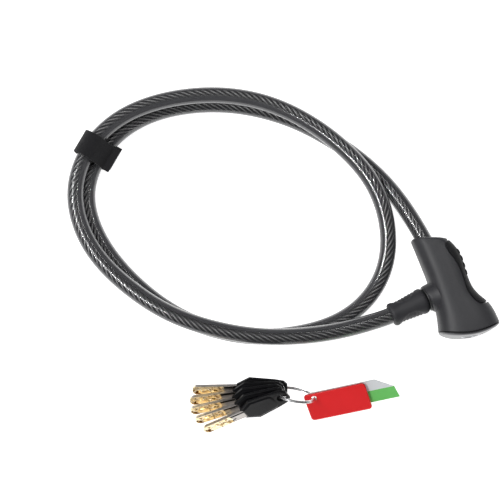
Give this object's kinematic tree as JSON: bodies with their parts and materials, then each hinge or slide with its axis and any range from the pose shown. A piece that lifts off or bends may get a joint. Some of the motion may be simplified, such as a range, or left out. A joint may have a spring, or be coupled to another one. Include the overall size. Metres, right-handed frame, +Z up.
{
  "type": "key cable lock",
  "caption": "Coiled steel cable lock in a clear jacket with a key-operated lock head, a push-in plug, a hook-and-loop strap and keys on a split ring with blank tags.",
  "frame": {"origin": "on the rest face under the lock head, where the plug's axis crosses the cable outlet's centre plane", "axes": "+X is the way the plug pushes into the head, +Y is the way the cable leaves the head, +Z is up from the surface the lock lies on"},
  "size_m": [0.249, 0.2761, 0.0316],
  "materials": {
    "shell": "soft-touch charcoal",
    "grip": "matte",
    "cap_metal": "satin",
    "collar": "satin black",
    "cast_zinc": "as cast",
    "brass": "machined",
    "steel": "turned",
    "spring_steel": "bright wire",
    "strand_steel": "twisted strands",
    "jacket": "smoky clear",
    "sleeve": "matte",
    "strap": "hook and loop",
    "bow": "satin black",
    "key_metal": "nickel with milled brass track",
    "ring_metal": "bright",
    "tag_red": "bare red",
    "card": "bare card with a green band"
  },
  "bodies": {
    "head": {"front_cover": "shell", "back_cover": "shell", "grip_insert": "grip", "end_cap": "cap_metal", "socket_collar": "collar", "lock_casting": "cast_zinc", "cylinder_barrel": "brass", "barrel_pin": "steel", "driver_pins": "brass", "pin_springs": "spring_steel", "bolt_spring": "spring_steel", "cable_ferrule": "steel", "ferrule_pin": "steel", "cover_screws": "steel", "cable_core": "strand_steel", "cable_sheath": "jacket", "cable_strap": "strap"},
    "plug": {"plug_pin": "steel", "plug_sleeve": "sleeve"},
    "lock_core": {"cylinder_core": "brass", "key_pins": "brass", "core_cam": "steel", "cam_screw": "steel"},
    "bolt": {"locking_bolt": "steel"},
    "key_bunch": {"key_ring": "ring_metal"},
    "key_1": {"key_1_blade": "key_metal", "key_1_bow": "bow"},
    "key_2": {"key_2_blade": "key_metal", "key_2_bow": "bow"},
    "key_3": {"key_3_blade": "key_metal", "key_3_bow": "bow"},
    "key_4": {"key_4_blade": "key_metal", "key_4_bow": "bow"},
    "key_5": {"key_5_blade": "key_metal", "key_5_bow": "bow"},
    "tag": {"key_tag": "tag_red"},
    "card": {"key_card": "card"}
  },
  "joints": [
    {"name": "plug_slide", "type": "slide", "parent": "head", "child": "plug", "axis": [-1, 0, 0], "range_m": [0, 0.035], "deforming": ["cable_core", "cable_sheath"]},
    {"name": "core_turn", "type": "hinge", "parent": "head", "child": "lock_core", "pos_m": [-0.0011, -0.0306, 0.0155], "axis": [-0.265, -0.9642, 0], "range_deg": [0, 90]},
    {"name": "bolt_slide", "type": "slide", "parent": "head", "child": "bolt", "axis": [0, 0, 1], "range_m": [0, 0.0043], "deforming": ["bolt_spring"]},
    {"name": "bunch_lift", "type": "slide", "parent": "head", "child": "key_bunch", "axis": [0, 0, 1], "range_m": [0, 0.08]},
    {"name": "key_1_swing", "type": "hinge", "parent": "key_bunch", "child": "key_1", "pos_m": [-0.14201, -0.01297, 0.00824], "axis": [0.2862, 0.6177, -0.7325], "range_deg": [0, 30]},
    {"name": "key_2_swing", "type": "hinge", "parent": "key_bunch", "child": "key_2", "pos_m": [-0.1449, -0.01307, 0.01245], "axis": [0.2873, 0.6315, -0.7202], "range_deg": [0, 30]},
    {"name": "key_3_swing", "type": "hinge", "parent": "key_bunch", "child": "key_3", "pos_m": [-0.14648, -0.01443, 0.01724], "axis": [0.2859, 0.6931, -0.6617], "range_deg": [0, 30]},
    {"name": "key_4_swing", "type": "hinge", "parent": "key_bunch", "child": "key_4", "pos_m": [-0.14645, -0.01688, 0.02185], "axis": [0.2742, 0.7457, -0.6073], "range_deg": [0, 30]},
    {"name": "key_5_swing", "type": "hinge", "parent": "key_bunch", "child": "key_5", "pos_m": [-0.14481, -0.02006, 0.02565], "axis": [0.2521, 0.7777, -0.5759], "range_deg": [0, 30]},
    {"name": "tag_swing", "type": "hinge", "parent": "key_bunch", "child": "tag", "pos_m": [-0.12338, -0.02988, 0.01435], "axis": [-0.3532, -0.5302, 0.7708], "range_deg": [0, 30]},
    {"name": "card_swing", "type": "hinge", "parent": "key_bunch", "child": "card", "pos_m": [-0.12253, -0.0286, 0.0125], "axis": [-0.3532, -0.5302, 0.7708], "range_deg": [0, 30]}
  ],
  "couplings": [
    {"joint": "bolt_slide", "follows": "core_turn", "m_per_rad": 0.0027011}
  ]
}
